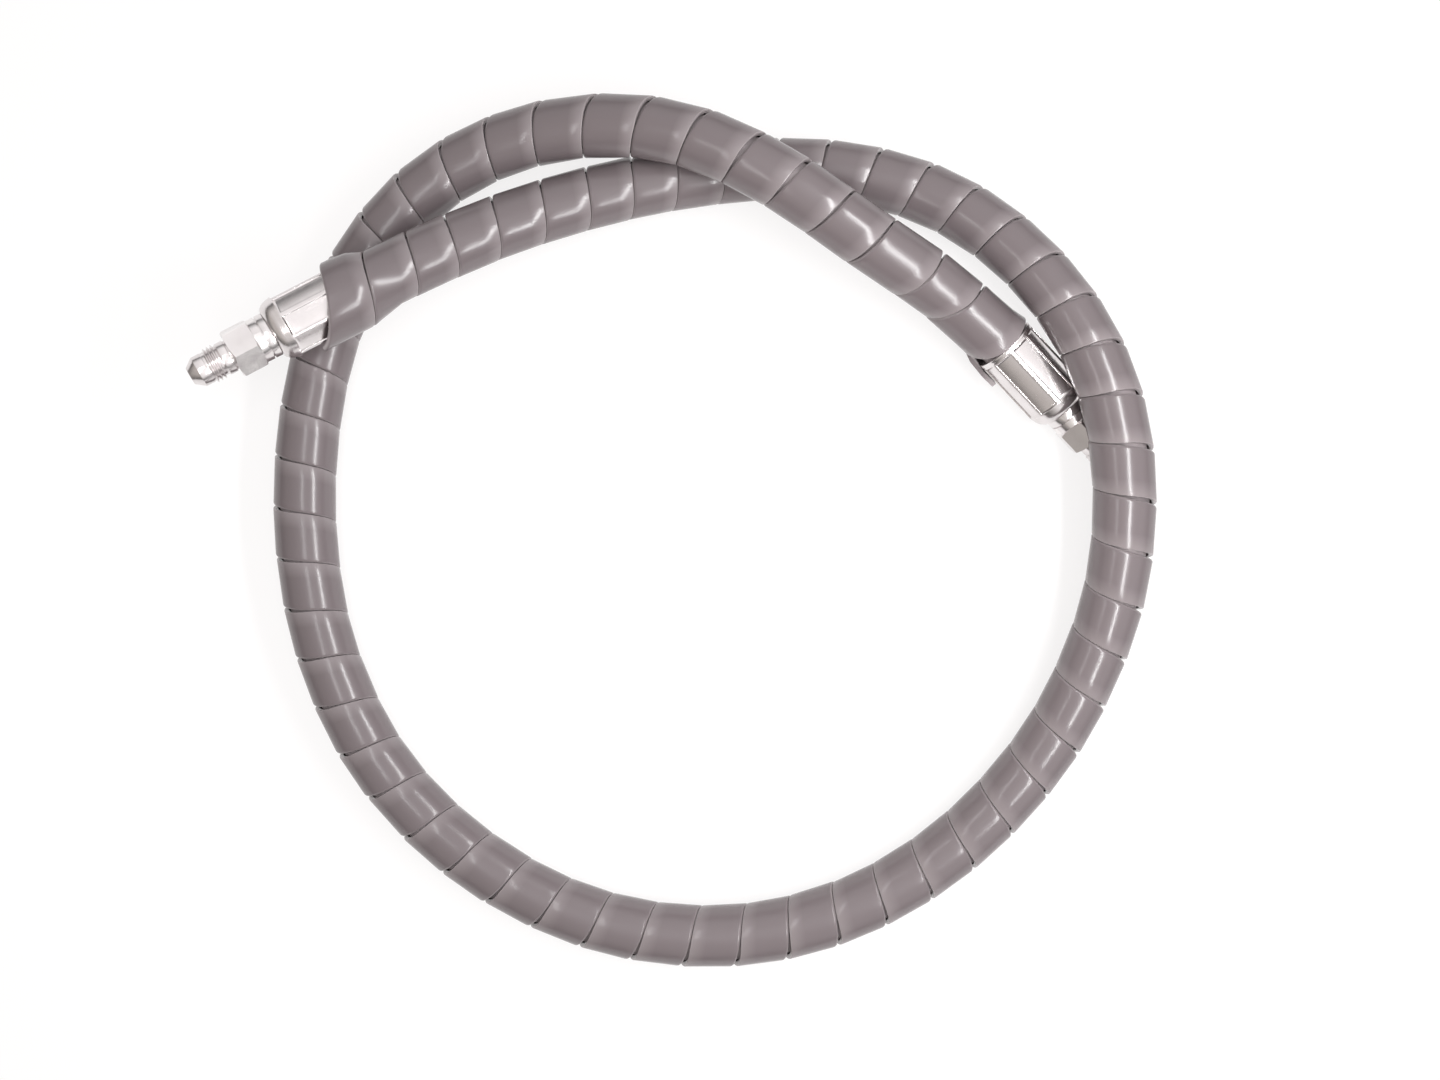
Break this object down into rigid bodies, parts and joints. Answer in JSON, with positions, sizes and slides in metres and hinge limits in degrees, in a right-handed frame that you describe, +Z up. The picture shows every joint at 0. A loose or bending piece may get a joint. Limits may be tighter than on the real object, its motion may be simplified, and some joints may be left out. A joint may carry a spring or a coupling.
{
  "type": "hydraulic hose assembly",
  "caption": "Flexible two-wire hydraulic hose in a loose loop, wrapped in a spiral guard, with a crimped male 37 degree flare fitting at each end.",
  "frame": {"origin": "centre of the part's outline on the floor that the loop lies on", "axes": "+Z up from the floor, +X and +Y to the right and to the top of the picture, which looks straight down"},
  "size_m": [0.3023, 0.2819, 0.0473],
  "materials": {
    "zinc_plated_steel": "bright zinc plating over turned and crimped steel",
    "braid_wire": "brass-coated steel wire",
    "hose_rubber": "matt black",
    "guard_plastic": "smooth plastic with a soft sheen"
  },
  "bodies": {
    "hose_assembly": {"inner_tube": "hose_rubber", "inner_wire_braid": "braid_wire", "friction_layer": "hose_rubber", "outer_wire_braid": "braid_wire", "outer_cover": "hose_rubber", "spiral_guard": "guard_plastic", "ferrule_a": "zinc_plated_steel", "ferrule_b": "zinc_plated_steel", "stem_a": "zinc_plated_steel", "stem_b": "zinc_plated_steel"}
  },
  "joints": []
}
